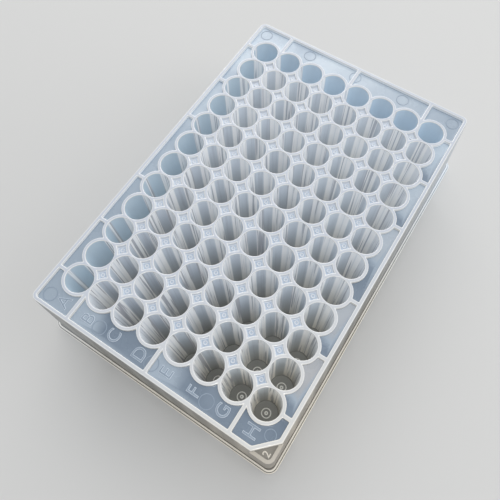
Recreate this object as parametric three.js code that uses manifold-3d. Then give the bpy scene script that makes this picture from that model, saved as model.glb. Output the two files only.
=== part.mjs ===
// A 96-well deep-well plate: one injection moulding in natural polypropylene.
// Millimetres, +Z up. The origin is on the base plane, under the middle of the footprint.
// +X runs from column 1 to column 12, and +Y runs from row H to row A.

import * as THREE from 'three';
import { mergeVertices } from 'three/addons/utils/BufferGeometryUtils.js';
import Module from 'manifold-3d';

const wasm = await Module();
wasm.setup();

// ---------------------------------------------------------------- driving dimensions

// Well grid
const columns = 12;
const rows = 8;
const pitch = 9;
const columnOneInset = 14.38; // short side of the footprint to the centre of column 1
const rowInset = 11.24; // long side of the footprint to the centre of row A

// Whole plate
const height = 31;
const footprintCornerRadius = 3.18;

// Base flange
const flangeHeight = 3;
const flangeLip = 1.2; // thickness of the upright lip that stands on the bench
const flangeWeb = 1.2; // thickness of the ledge's lower tier
const flangeStepInset = 0.55; // the outer tier of the ledge is this wide
const flangeStepDrop = 0.35; // and lies this much lower

// Skirt
const footInset = 1.3; // footprint edge to the outer face of the skirt, at the flange
const rimInset = 2.85; // footprint edge to the outer face of the skirt, at the rim
const skirtWall = 1.2;
const footCornerRadius = 2.4;
const rimCornerRadius = 2;
const leastCornerRadius = 0.4; // no corner inside the skirt is sharper than this

// Deck
const rimWidth = 1.2;
const recessDepth = 1.2; // rim, rings and ribs stand this much above the deck
const deckThickness = 1;

// Wells
const sharedWall = 0.7; // thinnest wall between two neighbours, at the mouth
const ringWall = 1.05; // wall of the ring round a mouth
const wellDraft = 0.35; // a well's radius shrinks this much from mouth to floor
const tubeDraft = 0.15; // and its tube's outer radius this much
const floorThickness = 0.9;
const floorClearance = 1.5; // the bench to the underside of the tubes
const wellSides = 12;

// Ribs between the well block and the skirt
const ribWidth = 1.15; // above the deck
const webThickness = 1; // below the deck
const webFootHeight = 6; // lower edge of the webs above the bench
const longSideRibColumns = [1, 3, 5, 8, 10, 12];
const shortSideRibsAfterRow = [1, 4, 7];
const ribRoot = 1.3; // a short side's ribs start this far out from the end column's centre line

// Cut corner beside well H1, with a small shelf below it
const cutLeg = 5.8; // how far the cut runs along each side of the rim
const shelfDrop = 8; // rim plane to the top of the low wall that carries on round the corner
const shelfBorder = 1;
const shelfRecess = 0.8;
const shelfThickness = 1;

const cornerSegments = 4;
const overshoot = 5; // how far cutting tools reach past what they cut
const flatTolerance = 1e-4; // points this near a straight edge or flat face are dropped from it

// ---------------------------------------------------------------- worked-out sizes

const gridLength = (columns - 1) * pitch;
const gridWidth = (rows - 1) * pitch;
const footprint = { length: gridLength + 2 * columnOneInset, width: gridWidth + 2 * rowInset };

const ledgeUnderHeight = flangeHeight - flangeStepDrop - flangeWeb;
const mouthRadius = (pitch - sharedWall) / 2;
const ringRadius = mouthRadius + ringWall;
const tubeBottomHeight = floorClearance;
const wellFloorHeight = floorClearance + floorThickness;
const deckTopHeight = height - recessDepth;
const deckUnderHeight = deckTopHeight - deckThickness;
const shelfWallHeight = height - shelfDrop;
const shelfFloorHeight = shelfWallHeight - shelfRecess;
const shelfUnderHeight = shelfFloorHeight - shelfThickness;

// ---------------------------------------------------------------- helpers

// Turns a closed three.js geometry into a solid that can be joined and cut.
function solid(geometry) {
  const bare = geometry.index ? geometry.toNonIndexed() : geometry.clone();
  bare.deleteAttribute('normal');
  bare.deleteAttribute('uv');
  const merged = mergeVertices(bare);
  return new wasm.Manifold(new wasm.Mesh({
    numProp: 3,
    vertProperties: new Float32Array(merged.attributes.position.array),
    triVerts: new Uint32Array(merged.index.array),
  }));
}

// Turns a finished solid back into a three.js geometry.
function geometryOf(manifold) {
  const mesh = manifold.getMesh();
  const geometry = new THREE.BufferGeometry();
  geometry.setAttribute('position', new THREE.BufferAttribute(mesh.vertProperties, 3));
  geometry.setIndex(new THREE.BufferAttribute(mesh.triVerts, 1));
  geometry.computeVertexNormals();
  return geometry;
}

function join(solids) {
  return wasm.Manifold.union(solids);
}

// The point at a distance from a centre, in the direction of an angle.
function pointAt(centre, distance, angle) {
  return new THREE.Vector2(centre.x + distance * Math.cos(angle), centre.y + distance * Math.sin(angle));
}

// A rounded rectangle, counter-clockwise. Every one has as many points, so that two can be lofted.
function roundedOutline(length, width, radius) {
  const points = [];
  for (let corner = 0; corner < 4; corner++) {
    const start = corner * Math.PI / 2;
    const centre = new THREE.Vector2(
      (length / 2 - radius) * (corner === 0 || corner === 3 ? 1 : -1),
      (width / 2 - radius) * (corner < 2 ? 1 : -1),
    );
    for (let step = 0; step <= cornerSegments; step++) {
      points.push(pointAt(centre, radius, start + step / cornerSegments * Math.PI / 2));
    }
  }
  return points;
}

// The footprint moved in by an inset, with corners of a given radius.
function footprintOutline(inset, radius) {
  return roundedOutline(footprint.length - 2 * inset, footprint.width - 2 * inset, radius);
}

// A closed ruled body between a lower and an upper outline.
function loft(lower, lowerHeight, upper, upperHeight) {
  const count = lower.length;
  const positions = [];
  lower.forEach((point) => positions.push(point.x, point.y, lowerHeight));
  upper.forEach((point) => positions.push(point.x, point.y, upperHeight));
  const faces = [];
  for (let i = 0; i < count; i++) {
    const next = (i + 1) % count;
    faces.push(i, next, count + next);
    faces.push(i, count + next, count + i);
  }
  for (const [a, b, c] of THREE.ShapeUtils.triangulateShape(lower, [])) {
    faces.push(a, c, b);
  }
  for (const [a, b, c] of THREE.ShapeUtils.triangulateShape(upper, [])) {
    faces.push(count + a, count + b, count + c);
  }
  const geometry = new THREE.BufferGeometry();
  geometry.setAttribute('position', new THREE.Float32BufferAttribute(positions, 3));
  geometry.setIndex(faces);
  return solid(geometry);
}

// A box between two corners.
function block(x0, x1, y0, y1, z0, z1) {
  const geometry = new THREE.BoxGeometry(x1 - x0, y1 - y0, z1 - z0);
  geometry.translate((x0 + x1) / 2, (y0 + y1) / 2, (z0 + z1) / 2);
  return solid(geometry);
}

// A round section is drawn as a polygon with the circle's area. Flat sides face the neighbours.
const sideAngle = 2 * Math.PI / wellSides;
const flatShare = Math.cos(sideAngle / 2) * Math.sqrt(sideAngle / Math.sin(sideAngle));

// The point of a section at a polar angle from its centre.
function sectionPoint(centre, radius, angle) {
  const flatAngle = Math.round(angle / sideAngle) * sideAngle;
  return pointAt(centre, radius * flatShare / Math.cos(angle - flatAngle), angle);
}

// A section's points from one polar angle to another, with both ends.
function sectionArc(centre, radius, start, end) {
  const turn = Math.sign(end - start);
  const points = [sectionPoint(centre, radius, start)];
  const startShare = start / sideAngle - 0.5;
  const firstCorner = turn > 0 ? Math.floor(startShare) + 1 : Math.ceil(startShare) - 1;
  for (let corner = firstCorner; turn * ((corner + 0.5) * sideAngle - end) < 0; corner += turn) {
    points.push(sectionPoint(centre, radius, (corner + 0.5) * sideAngle));
  }
  points.push(sectionPoint(centre, radius, end));
  return points;
}

// The angle from the grid line at which a tube's wall runs into its neighbour's. It lies on the
// first slanted side.
function meetingAngle(radius) {
  const halfPitch = pitch / 2;
  const rise = (radius * flatShare - halfPitch * Math.cos(sideAngle)) / Math.sin(sideAngle);
  return Math.atan2(rise, halfPitch);
}

// A whole section, counter-clockwise.
function sectionOutline(centre, radius) {
  const points = [];
  for (let corner = 0; corner < wellSides; corner++) {
    points.push(sectionPoint(centre, radius, (corner + 0.5) * sideAngle));
  }
  return points;
}

// The gap between four tubes of one radius, counter-clockwise, with its four concave sides.
function gapOutline(centre, radius) {
  const meeting = meetingAngle(radius);
  const points = [];
  for (let quarter = 0; quarter < 4; quarter++) {
    const turn = quarter * Math.PI / 2;
    const well = pointAt(centre, pitch / Math.SQRT2, turn - Math.PI / 4);
    const arc = sectionArc(well, radius, turn + Math.PI - meeting, turn + Math.PI / 2 + meeting);
    points.push(...arc.slice(0, -1));
  }
  return points;
}

// The scalloped outline of all the tubes together, counter-clockwise from row A's last tube.
function blockOutline(radius) {
  const meeting = meetingAngle(radius);
  const points = [];
  const edges = [
    { count: columns, outward: Math.PI / 2, place: (i) => [columns - i, 1] },
    { count: rows, outward: Math.PI, place: (i) => [1, 1 + i] },
    { count: columns, outward: 1.5 * Math.PI, place: (i) => [1 + i, rows] },
    { count: rows, outward: 2 * Math.PI, place: (i) => [columns, rows - i] },
  ];
  for (const { count, outward, place } of edges) {
    for (let i = 0; i < count - 1; i++) {
      const [column, row] = place(i);
      const centre = new THREE.Vector2(columnX(column), rowY(row));
      const atCorner = i === 0;
      const start = outward - Math.PI / 2 + meeting - (atCorner ? Math.PI / 2 : 0);
      const arc = sectionArc(centre, radius, start, outward + Math.PI / 2 - meeting);
      points.push(...arc.slice(0, -1));
    }
  }
  return points;
}

function columnX(column) {
  return (column - (columns + 1) / 2) * pitch;
}

function rowY(row) {
  return ((rows + 1) / 2 - row) * pitch;
}

// Everything outside the cut corner's face, above a given height. A positive offset moves the
// face in towards the wells.
function beyondCut(offset, fromHeight) {
  const cornerX = -(footprint.length / 2 - rimInset);
  const cornerY = -(footprint.width / 2 - rimInset);
  const reach = footprint.width;
  const geometry = new THREE.BoxGeometry(reach, reach, reach);
  geometry.translate(-reach / 2, 0, reach / 2);
  geometry.rotateZ(Math.PI / 4);
  geometry.translate(cornerX + cutLeg / 2, cornerY + cutLeg / 2, fromHeight);
  const step = offset / Math.SQRT2;
  geometry.translate(step, step, 0);
  return solid(geometry);
}

// ---------------------------------------------------------------- skirt, flange and deck

// The outline of the skirt's sloping outer face at a height, moved in by an inset.
function skirtOutline(inset, z) {
  const share = (z - flangeHeight) / (height - flangeHeight);
  const edgeInset = footInset + (rimInset - footInset) * share;
  const radius = footCornerRadius + (rimCornerRadius - footCornerRadius) * share;
  return footprintOutline(edgeInset + inset, Math.max(radius - inset, leastCornerRadius));
}

// A body with the skirt's slope, moved in by an inset, solid right through between two heights.
function skirtForm(inset, fromHeight, toHeight) {
  return loft(skirtOutline(inset, fromHeight), fromHeight, skirtOutline(inset, toHeight), toHeight);
}

// The stepped flange, solid right through.
function flangeForm() {
  const outer = footprintOutline(0, footprintCornerRadius);
  const inner = footprintOutline(flangeStepInset, footprintCornerRadius - flangeStepInset);
  return loft(outer, 0, outer, flangeHeight - flangeStepDrop).add(loft(inner, 0, inner, flangeHeight));
}

// The hollow under the deck, with the shelf and the cut corner's wall left standing in it.
function underHollow() {
  const lip = footprintOutline(flangeLip, footprintCornerRadius - flangeLip);
  return skirtForm(skirtWall, ledgeUnderHeight, deckUnderHeight)
    .subtract(beyondCut(skirtWall, shelfUnderHeight))
    .add(loft(lip, -overshoot, lip, ledgeUnderHeight));
}

// The recess in the top of the deck, inside the rim.
function deckRecess() {
  const inside = footprintOutline(rimInset + rimWidth, rimCornerRadius - rimWidth);
  return loft(inside, deckTopHeight, inside, height + overshoot)
    .subtract(beyondCut(rimWidth, 0));
}

// The pocket in the shelf below the cut corner.
function shelfPocket() {
  return skirtForm(shelfBorder, shelfFloorHeight, shelfWallHeight + overshoot)
    .intersect(beyondCut(0, shelfFloorHeight));
}

function makeShell() {
  return skirtForm(0, ledgeUnderHeight, height)
    .subtract(beyondCut(0, shelfWallHeight))
    .add(flangeForm())
    .subtract(underHollow())
    .subtract(deckRecess())
    .subtract(shelfPocket());
}

// ---------------------------------------------------------------- wells and ribs

// The tubes' outer radius at a height.
function tubeRadius(z) {
  return ringRadius - tubeDraft * (height - z) / (height - tubeBottomHeight);
}

// Ninety-six drafted tubes whose walls run into each other along the grid, still solid.
function tubeBlock() {
  const lower = blockOutline(tubeRadius(tubeBottomHeight));
  const upper = blockOutline(tubeRadius(height));
  return loft(lower, tubeBottomHeight, upper, height);
}

// What is open between each four tubes: a deep hollow under the deck and a recess above it.
function gapCuts() {
  const cuts = [];
  for (let column = 1; column < columns; column++) {
    for (let row = 1; row < rows; row++) {
      const centre = new THREE.Vector2(columnX(column + 0.5), rowY(row + 0.5));
      const gapAt = (z) => gapOutline(centre, tubeRadius(z));
      const gap = (from, to) => loft(gapAt(from), from, gapAt(to), to);
      cuts.push(gap(tubeBottomHeight, deckUnderHeight));
      cuts.push(gap(deckTopHeight, height));
    }
  }
  return join(cuts);
}

function wellRadius(z) {
  return mouthRadius - wellDraft * (height - z) / (height - wellFloorHeight);
}

function wellCuts() {
  const cuts = [];
  for (let column = 1; column <= columns; column++) {
    for (let row = 1; row <= rows; row++) {
      const centre = new THREE.Vector2(columnX(column), rowY(row));
      const sectionAt = (z) => sectionOutline(centre, wellRadius(z));
      cuts.push(loft(sectionAt(wellFloorHeight), wellFloorHeight, sectionAt(height), height));
    }
  }
  return join(cuts);
}

// A rib on the deck and the web under it, along a line from the well block to the footprint's edge.
function ribAndWeb(from, to) {
  const box = (thickness, z0, z1) => {
    const halfX = from.x === to.x ? thickness / 2 : 0;
    const halfY = from.y === to.y ? thickness / 2 : 0;
    const x = [from.x, to.x].sort((a, b) => a - b);
    const y = [from.y, to.y].sort((a, b) => a - b);
    return block(x[0] - halfX, x[1] + halfX, y[0] - halfY, y[1] + halfY, z0, z1);
  };
  return box(ribWidth, deckUnderHeight, height).add(box(webThickness, webFootHeight, deckUnderHeight));
}

function makeRibs() {
  const ribs = [];
  const wallMiddle = (mouthRadius + ringRadius) / 2;
  for (const side of [1, -1]) {
    for (const column of longSideRibColumns) {
      const x = columnX(column);
      const rootY = side * (gridWidth / 2 + wallMiddle);
      const from = new THREE.Vector2(x, rootY);
      ribs.push(ribAndWeb(from, new THREE.Vector2(x, side * footprint.width / 2)));
    }
    for (const row of shortSideRibsAfterRow) {
      const y = rowY(row + 0.5);
      const rootX = side * (gridLength / 2 + ribRoot);
      const from = new THREE.Vector2(rootX, y);
      ribs.push(ribAndWeb(from, new THREE.Vector2(side * footprint.length / 2, y)));
    }
  }
  return join(ribs).intersect(skirtForm(0, flangeHeight, height));
}

// ---------------------------------------------------------------- the plate

const plateSolid = makeShell()
  .add(tubeBlock())
  .add(makeRibs())
  .subtract(gapCuts())
  .subtract(wellCuts())
  .asOriginal()
  .simplify(flatTolerance);

const naturalPolypropylene = new THREE.MeshStandardMaterial({
  color: 0xdfe4e8,
  roughness: 0.35,
  metalness: 0,
  transparent: true,
  opacity: 0.85,
});

const wellPlate = new THREE.Mesh(geometryOf(plateSolid), naturalPolypropylene);
wellPlate.name = 'well_plate';

const part = new THREE.Group();
part.add(wellPlate);

export default part;
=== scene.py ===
"""The looks of a 96-well deep-well plate in natural polypropylene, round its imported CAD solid.

Lengths are in millimetres until a mesh is made. +X runs from column 1 to column 12, +Y from row H to
row A, and Z is up from the bench, as in the CAD solid.
"""

import math

import bpy
from mathutils import Matrix, Vector
from mathutils.geometry import delaunay_2d_cdt

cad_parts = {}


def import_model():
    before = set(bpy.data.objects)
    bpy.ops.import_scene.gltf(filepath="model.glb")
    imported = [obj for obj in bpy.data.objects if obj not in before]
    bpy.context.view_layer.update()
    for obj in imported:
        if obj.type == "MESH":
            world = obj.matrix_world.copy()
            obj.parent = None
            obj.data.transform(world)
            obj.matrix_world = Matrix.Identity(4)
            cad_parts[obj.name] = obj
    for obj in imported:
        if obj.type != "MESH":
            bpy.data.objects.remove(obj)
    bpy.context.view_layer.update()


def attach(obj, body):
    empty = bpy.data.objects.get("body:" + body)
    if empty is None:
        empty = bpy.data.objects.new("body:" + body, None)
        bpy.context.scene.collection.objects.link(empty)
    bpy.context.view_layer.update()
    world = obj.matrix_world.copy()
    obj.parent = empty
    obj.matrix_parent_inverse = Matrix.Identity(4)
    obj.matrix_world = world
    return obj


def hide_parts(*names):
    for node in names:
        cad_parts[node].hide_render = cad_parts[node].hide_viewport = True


MM = 0.001

# ---------------------------------------------------------------- the plate's sizes

COLUMNS = 12
ROWS = 8
PITCH = 9.0
HALF_LENGTH = 63.88
HALF_WIDTH = 42.74
HEIGHT = 31.0
FOOTPRINT_CORNER = 3.18

FLANGE_HEIGHT = 3.0
FLANGE_LIP = 1.2
FLANGE_WEB = 1.2
STEP_INSET = 0.55
STEP_DROP = 0.35
LEDGE_UNDER = FLANGE_HEIGHT - STEP_DROP - FLANGE_WEB

FOOT_INSET = 1.3
RIM_INSET = 2.85
SKIRT_WALL = 1.2
FOOT_CORNER = 2.4
RIM_CORNER = 2.0
LEAST_CORNER = 0.4

RIM_WIDTH = 1.2
DECK_TOP = HEIGHT - 1.2
DECK_UNDER = DECK_TOP - 1.0

MOUTH_RADIUS = (PITCH - 0.7) / 2
RING_RADIUS = MOUTH_RADIUS + 1.05
TUBE_BOTTOM = 1.5
WELL_FLOOR = TUBE_BOTTOM + 0.9
WELL_DRAFT = 0.35
TUBE_DRAFT = 0.15

RIB_WIDTH = 1.15
WEB_THICKNESS = 1.0
WEB_FOOT = 6.0
LONG_SIDE_RIB_COLUMNS = (1, 3, 5, 8, 10, 12)
SHORT_SIDE_RIBS_AFTER_ROW = (1, 4, 7)

CUT_LEG = 5.8
SHELF_WALL = HEIGHT - 8.0
SHELF_FLOOR = SHELF_WALL - 0.8
SHELF_UNDER = SHELF_FLOOR - 1.0
SHELF_BORDER = 1.0

# Edges, which only the looks have
EDGE = 0.24  # fillet along the rings and the ribs
RIM_EDGE = 0.32
FOOT_FILLET = 0.22  # round the foot of a wall on the deck
WELL_FOOT = 0.45
TUBE_EDGE = 0.25
GAP_EDGE = 0.2
STEP_EDGE = 0.13
STEP_FOOT = 0.06
FLANGE_EDGE = 0.3
FLANGE_FOOT = 0.15
SKIRT_FOOT = 0.12  # the slope from the skirt to the flange
SKIRT_SHADE_LINE = 0.45  # how far up the skirt its painted line of shade at the foot reaches
HIGHLIGHT_REACH = 0.36  # how far an edge's painted highlight goes on past its fillet
CUSP = 0.28  # how far a corner in plan is eased along each side
CORNER_EASE = 0.45
MOST_EASED = 0.42  # the share of a side that may be eased at each end
BEND_SHARES = (1 / 3, 2 / 3)  # where along an eased corner's bend its points lie

FILLET_STEPS = 2
CORNER_STEPS = 8
GAP_STEPS = 5
ARC_STEP = math.radians(11)
SHARP_ANGLE = math.radians(38)
SAME_POINT = 1e-7  # how near two points count as one when a face is filled

# Round marks, from the middle out, as radius and height over the face they are on
GATE_PIP = ((0.18, 0.04), (0.28, 0.15), (0.5, 0.15), (0.62, 0.02))
GATE_RING = ((1.25, 0.01), (1.35, 0.15), (1.5, 0.15), (1.6, 0.0))
GAP_PIP = ((0.32, 0.2), (0.42, 0.34), (0.6, 0.34), (0.68, 0.24), (0.7, 0.0))
TUBE_DIMPLE = ((1.45, 0.0), (1.3, 0.3))
GATE_CORNERS = 24
PIP_CORNERS = 16
DIMPLE_CORNERS = 16
EJECTOR_CORNERS = 32
# An ejector's mark stands a little into the deck, and its radii are given from its outer one.
EJECTOR_MARK = ((-0.3, -0.1), (-0.26, 0.06), (-0.2, 0.08), (-0.08, 0.08), (-0.03, 0.06), (0.0, -0.1))
EJECTOR_RADIUS = 2.15
EJECTOR_X = 57.3
EJECTOR_ROWS = (36.0, 18.0, 0.0, -18.0, -36.0)
CORNER_EJECTOR = (-55.2, -36.3)
CORNER_EJECTOR_RADIUS = 1.65

LETTER_HEIGHT = 3.65
LETTER_X = -56.9
LETTER_SHIFT = -0.2  # from the middle of its row
LETTER_BEVEL = 0.1
NUMBER_HEIGHT = 2.1
NUMBER_PLACE = (-59.35, -37.75)
NUMBER_BEVEL = 0.04
TEXT_RISE = 0.16
TEXT_ROOT = 0.1  # how far a letter stands into its floor
TEXT_NARROWED = 0.35  # the share of its bevel by which a stroke is narrowed first
TEXT_STEPS = 6
TEXT_WELD = 0.002
FLAT_TOP = 0.98  # the least upward share of a flat top's normal

DECK_GRID = 1.5  # between the points that carry the deck's painted light
FAR_DECK = 0.75  # the deck's painted light on the two far sides
SHORT_SIDE_PATCH = 9.0  # how far a painted light patch reaches from its rib, by the rim
LONG_SIDE_PATCH = 13.0
PATCH_SLANT = 4.5  # how much less it reaches by the wells
PATCH_FADE = 3.5
PALE_GLOW = 2.0  # the painted light of a patch that has no blue in it

# ---------------------------------------------------------------- the camera

CAMERA_PLACE = (-60.4, -37.7, 167.5)
CAMERA_AIM = (-9.53, -4.03, 31.0)
CAMERA_ROLL = -0.94
CAMERA_LENS = 36.44
CAMERA_SHIFT = (-0.0208, -0.0369)

# ---------------------------------------------------------------- the grid of wells


def column_x(column):
    return (column - (COLUMNS + 1) / 2) * PITCH


def row_y(row):
    return ((ROWS + 1) / 2 - row) * PITCH


def centre_of(column, row):
    return column_x(column), row_y(row)


WELLS = [(column, row) for column in range(1, COLUMNS + 1) for row in range(1, ROWS + 1)]
GAPS = [(column + 0.5, row + 0.5) for column in range(1, COLUMNS) for row in range(1, ROWS)]


# ---------------------------------------------------------------- plan outlines


class Line:
    """A straight side of an outline, from a to b."""

    def __init__(self, a, b, ease=0.0):
        self.a = Vector(a)
        self.b = Vector(b)
        self.ease = ease  # how far the corner at its end is eased

    def length(self):
        return (self.b - self.a).length

    def trimmed(self, start, end):
        along = (self.b - self.a).normalized()
        return Line(self.a + along * start, self.b - along * end)

    def points(self):
        return [self.a, self.b]


class Arc:
    """A round side of an outline, from one angle to another."""

    def __init__(self, centre, radius, start, end, steps, ease=0.0):
        self.centre = Vector(centre)
        self.radius = radius
        self.start = start
        self.end = end
        self.steps = steps
        self.ease = ease

    def length(self):
        return abs(self.end - self.start) * self.radius

    def trimmed(self, start, end):
        turn = math.copysign(1.0, self.end - self.start)
        first = self.start + turn * start / self.radius
        last = self.end - turn * end / self.radius
        return Arc(self.centre, self.radius, first, last, self.steps)

    def points(self):
        found = []
        for step in range(self.steps + 1):
            angle = self.start + (self.end - self.start) * step / self.steps
            found.append(self.centre + self.radius * Vector((math.cos(angle), math.sin(angle))))
        return found

    def turned_round(self, ease):
        return Arc(self.centre, self.radius, self.end, self.start, self.steps, ease)


def joined(pieces, closed):
    """The points along the pieces, with each corner eased as far as the piece before it says."""
    count = len(pieces)
    reaches = [0.0] * count
    for i in range(count if closed else count - 1):
        shorter = min(pieces[i].length(), pieces[(i + 1) % count].length())
        reaches[i] = min(pieces[i].ease, MOST_EASED * shorter)
    found = []
    for i, piece in enumerate(pieces):
        points = piece.trimmed(reaches[i - 1], reaches[i]).points()
        if reaches[i] == 0:
            found.extend(points[:-1])
            continue
        found.extend(points)
        corner = piece.points()[-1]
        onward = pieces[(i + 1) % count].trimmed(reaches[i], 0).points()[0]
        for share in BEND_SHARES:
            found.append(points[-1] * (1 - share) ** 2 + corner * 2 * share * (1 - share) + onward * share**2)
    if not closed:
        found.append(points[-1])
    return found


def circle(centre, radius, angles):
    return [Vector(centre) + radius * Vector((math.cos(a), math.sin(a))) for a in angles]


def even_angles(count):
    return [2 * math.pi * i / count for i in range(count)]


def meeting_angle(radius):
    """How far from the grid line a ring runs into its neighbour."""
    return math.acos(PITCH / 2 / radius)


def gap_outline(centre, radius):
    """The gap between four rings of one radius, counter-clockwise."""
    meeting = meeting_angle(radius)
    pieces = []
    for quarter in range(4):
        turn = quarter * math.pi / 2
        towards = Vector((math.cos(turn - math.pi / 4), math.sin(turn - math.pi / 4)))
        well = Vector(centre) + PITCH / math.sqrt(2) * towards
        start, end = turn + math.pi - meeting, turn + math.pi / 2 + meeting
        pieces.append(Arc(well, radius, start, end, GAP_STEPS, CUSP))
    return joined(pieces, closed=True)


# The four sides, counter-clockwise from the row A side. A side's outward direction is an angle.
SIDES = (
    {"outward": math.pi / 2, "wells": [(COLUMNS - i, 1) for i in range(COLUMNS)]},
    {"outward": math.pi, "wells": [(1, 1 + i) for i in range(ROWS)]},
    {"outward": 1.5 * math.pi, "wells": [(1 + i, ROWS) for i in range(COLUMNS)]},
    {"outward": 2 * math.pi, "wells": [(COLUMNS, ROWS - i) for i in range(ROWS)]},
)


def outward_of(side):
    angle = SIDES[side]["outward"]
    return Vector((round(math.cos(angle)), round(math.sin(angle))))


def along_of(side):
    outward = outward_of(side)
    return Vector((-outward.y, outward.x))


def rib_list():
    """Each rib's side and its place along that side, counter-clockwise."""
    ribs = []
    for side in range(4):
        along = along_of(side)
        places = []
        if side % 2 == 0:
            for column in LONG_SIDE_RIB_COLUMNS:
                places.append(Vector((column_x(column), 0)).dot(along))
        else:
            for row in SHORT_SIDE_RIBS_AFTER_ROW:
                places.append(Vector((0, row_y(row + 0.5))).dot(along))
        ribs.extend((side, place) for place in sorted(places))
    return ribs


RIBS = rib_list()
POCKETS = len(RIBS)


def ring_end(side, place, radius):
    """Where a line across a side's rings meets them: the well's index on that side, and the angle."""
    along = along_of(side)
    wells = SIDES[side]["wells"]
    spots = [Vector((column_x(c), row_y(r))).dot(along) for c, r in wells]
    index = min(range(len(wells)), key=lambda i: abs(spots[i] - place))
    return index, SIDES[side]["outward"] + math.asin((place - spots[index]) / radius)


def arc_spans(pocket, radius, half_rib):
    """Centre, first angle and last angle of each ring's arc along one pocket, counter-clockwise."""
    side, place = RIBS[pocket]
    last_side, last_place = RIBS[(pocket + 1) % POCKETS]
    meeting = meeting_angle(radius)
    index, angle = ring_end(side, place + half_rib, radius)
    last_index, last_angle = ring_end(last_side, last_place - half_rib, radius)
    spans = []
    while True:
        wells = SIDES[side]["wells"]
        if index == len(wells) - 1 and side != last_side:
            side = (side + 1) % 4
            index = 0
            wells = SIDES[side]["wells"]
        column, row = wells[index]
        outward = SIDES[side]["outward"]
        done = side == last_side and index == last_index
        end = last_angle if done else outward + math.pi / 2 - meeting
        if angle > end:
            angle -= 2 * math.pi
        spans.append(((column_x(column), row_y(row)), angle, end))
        if done:
            return spans
        index += 1
        angle = outward - math.pi / 2 + meeting


def block_arcs(pocket, radius, half_rib):
    """The rings' arcs along one pocket. Every radius gives as many points, so that two can be joined."""
    arcs = []
    usual = arc_spans(pocket, RING_RADIUS, RIB_WIDTH / 2)
    for (centre, start, end), (_, usual_start, usual_end) in zip(arc_spans(pocket, radius, half_rib), usual):
        steps = max(2, round((usual_end - usual_start) / ARC_STEP))
        arcs.append(Arc(centre, radius, start, end, steps, CUSP))
    arcs[-1].ease = 0
    return arcs


def cut_line(offset):
    """x + y along the cut corner's face, moved in by an offset."""
    return -(HALF_LENGTH - RIM_INSET) - (HALF_WIDTH - RIM_INSET) + CUT_LEG + offset * math.sqrt(2)


def corner_arc(side, inset, radius):
    """The plate's round corner after a side, counter-clockwise."""
    outward = outward_of(side) + outward_of((side + 1) % 4)
    centre = Vector((outward.x * (HALF_LENGTH - inset - radius), outward.y * (HALF_WIDTH - inset - radius)))
    angle = SIDES[side]["outward"]
    return Arc(centre, radius, angle, angle + math.pi / 2, CORNER_STEPS)


def cut_ends(inset, cut):
    """Where the cut corner's face, or its line carried down, meets the plate's two sides."""
    reach = Vector((HALF_LENGTH - inset, HALF_WIDTH - inset))
    return Vector((-reach.x, cut + reach.x)), Vector((cut + reach.y, -reach.y))


def edge_pieces(pocket, inset, radius, half_rib, cut):
    """The sides of one pocket along the plate's edge, counter-clockwise."""
    side, place = RIBS[pocket]
    last_side, last_place = RIBS[(pocket + 1) % POCKETS]
    reach = Vector((HALF_LENGTH - inset, HALF_WIDTH - inset))

    def on_edge(which, where):
        outward = outward_of(which)
        depth = reach.x if outward.x else reach.y
        return outward * depth + along_of(which) * where

    start = on_edge(side, place + half_rib)
    end = on_edge(last_side, last_place - half_rib)
    if side == last_side:
        return [Line(start, end)]
    if side == 1 and cut is not None:
        upper, lower = cut_ends(inset, cut)
        return [Line(start, upper, CORNER_EASE), Line(upper, lower, CORNER_EASE), Line(lower, end)]
    arc = corner_arc(side, inset, radius)
    before, after = (arc.centre + outward_of(which) * radius for which in (side, last_side))
    return [Line(start, before), arc, Line(after, end)]


def pocket_outline(pocket, offset):
    """One pocket between the rings, two ribs and the rim, moved out into its walls, counter-clockwise."""
    half_rib = RIB_WIDTH / 2 - offset
    corner = RIM_CORNER - RIM_WIDTH + offset
    arcs = block_arcs(pocket, RING_RADIUS - offset, half_rib)
    edge = edge_pieces(pocket, RIM_INSET + RIM_WIDTH - offset, corner, half_rib, cut_line(RIM_WIDTH - offset))
    edge[-1].ease = CUSP
    back = [arc.turned_round(CUSP) for arc in reversed(arcs)]
    inward = Line(edge[-1].points()[-1], back[0].points()[0], CUSP)
    outward = Line(back[-1].points()[-1], edge[0].points()[0], CUSP)
    return joined(edge + [inward] + back + [outward], closed=True)


# ---------------------------------------------------------------- heights and slopes


def skirt_inset(z):
    return FOOT_INSET + (RIM_INSET - FOOT_INSET) * (z - FLANGE_HEIGHT) / (HEIGHT - FLANGE_HEIGHT)


def skirt_corner(z):
    return FOOT_CORNER + (RIM_CORNER - FOOT_CORNER) * (z - FLANGE_HEIGHT) / (HEIGHT - FLANGE_HEIGHT)


def well_radius(z):
    return MOUTH_RADIUS - WELL_DRAFT * (HEIGHT - z) / (HEIGHT - WELL_FLOOR)


def tube_radius(z):
    return RING_RADIUS - TUBE_DRAFT * (HEIGHT - z) / (HEIGHT - TUBE_BOTTOM)


def fillet(size):
    """Offset and drop of the points round a convex edge, from the flat face to the wall."""
    steps = []
    for step in range(FILLET_STEPS + 1):
        turn = math.pi / 2 * step / FILLET_STEPS
        steps.append((size * (1 - math.sin(turn)), size * (1 - math.cos(turn))))
    return steps


# ---------------------------------------------------------------- the moulding's mesh

# The finishes' numbers
RIM, COLLAR, LAND, RECESS, HOLLOW, DECK, LETTER_HIGHLIGHT, EJECTOR, WALL = range(9)
FLOOR, GATE, SKIRT, LIP_HIGHLIGHT, STEP_SHADE, BORDER, SHELF, UNDER = range(9, 17)


def in_scene(name, data):
    """A new object in the scene."""
    made = bpy.data.objects.new(name, data)
    bpy.context.scene.collection.objects.link(made)
    return made


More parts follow.
